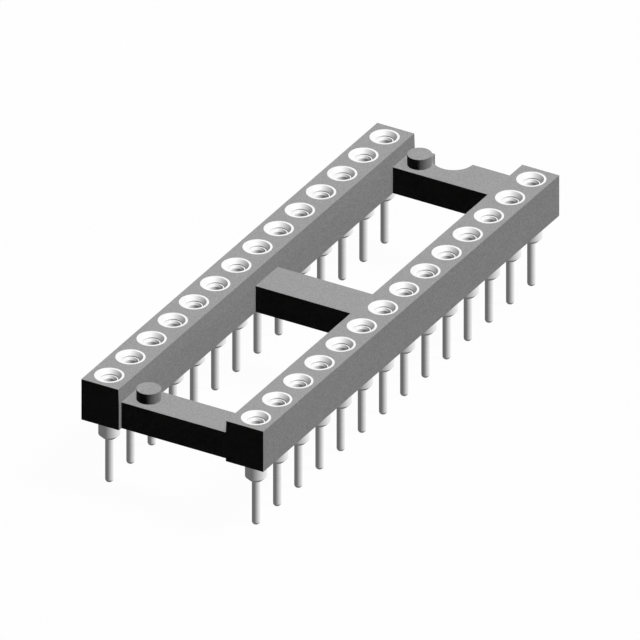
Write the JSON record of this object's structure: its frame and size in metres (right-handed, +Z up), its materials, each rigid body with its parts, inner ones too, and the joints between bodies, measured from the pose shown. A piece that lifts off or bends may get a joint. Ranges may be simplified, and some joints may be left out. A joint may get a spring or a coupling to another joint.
{
  "type": "ic socket",
  "caption": "Open-frame dual-in-line chip socket with turned round contacts, flush funnel mouths, spring clips inside and round solder tails; notch and posts mark its orientation.",
  "frame": {"origin": "centre of the tail tips' plane, below the middle of the body", "axes": "+X along the length, from the notched end to the plain end; +Y across the rows, away from the row that holds pin 1; +Z up out of the board, towards the chip"},
  "size_m": [0.0356, 0.0126, 0.0074],
  "materials": {
    "insulator": "matte, fine moulded",
    "sleeve": "turned, bright tin plated",
    "clip": "stamped and formed, bright tin plated"
  },
  "bodies": {
    "root": {"insulator_frame": "insulator", "pin_sleeve_01": "sleeve", "pin_sleeve_02": "sleeve", "pin_sleeve_03": "sleeve", "pin_sleeve_04": "sleeve", "pin_sleeve_05": "sleeve", "pin_sleeve_06": "sleeve", "pin_sleeve_07": "sleeve", "pin_sleeve_08": "sleeve", "pin_sleeve_09": "sleeve", "pin_sleeve_10": "sleeve", "pin_sleeve_11": "sleeve", "pin_sleeve_12": "sleeve", "pin_sleeve_13": "sleeve", "pin_sleeve_14": "sleeve", "pin_sleeve_15": "sleeve", "pin_sleeve_16": "sleeve", "pin_sleeve_17": "sleeve", "pin_sleeve_18": "sleeve", "pin_sleeve_19": "sleeve", "pin_sleeve_20": "sleeve", "pin_sleeve_21": "sleeve", "pin_sleeve_22": "sleeve", "pin_sleeve_23": "sleeve", "pin_sleeve_24": "sleeve", "pin_sleeve_25": "sleeve", "pin_sleeve_26": "sleeve", "pin_sleeve_27": "sleeve", "pin_sleeve_28": "sleeve", "contact_clip_01": "clip", "contact_clip_02": "clip", "contact_clip_03": "clip", "contact_clip_04": "clip", "contact_clip_05": "clip", "contact_clip_06": "clip", "contact_clip_07": "clip", "contact_clip_08": "clip", "contact_clip_09": "clip", "contact_clip_10": "clip", "contact_clip_11": "clip", "contact_clip_12": "clip", "contact_clip_13": "clip", "contact_clip_14": "clip", "contact_clip_15": "clip", "contact_clip_16": "clip", "contact_clip_17": "clip", "contact_clip_18": "clip", "contact_clip_19": "clip", "contact_clip_20": "clip", "contact_clip_21": "clip", "contact_clip_22": "clip", "contact_clip_23": "clip", "contact_clip_24": "clip", "contact_clip_25": "clip", "contact_clip_26": "clip", "contact_clip_27": "clip", "contact_clip_28": "clip"}
  },
  "joints": []
}
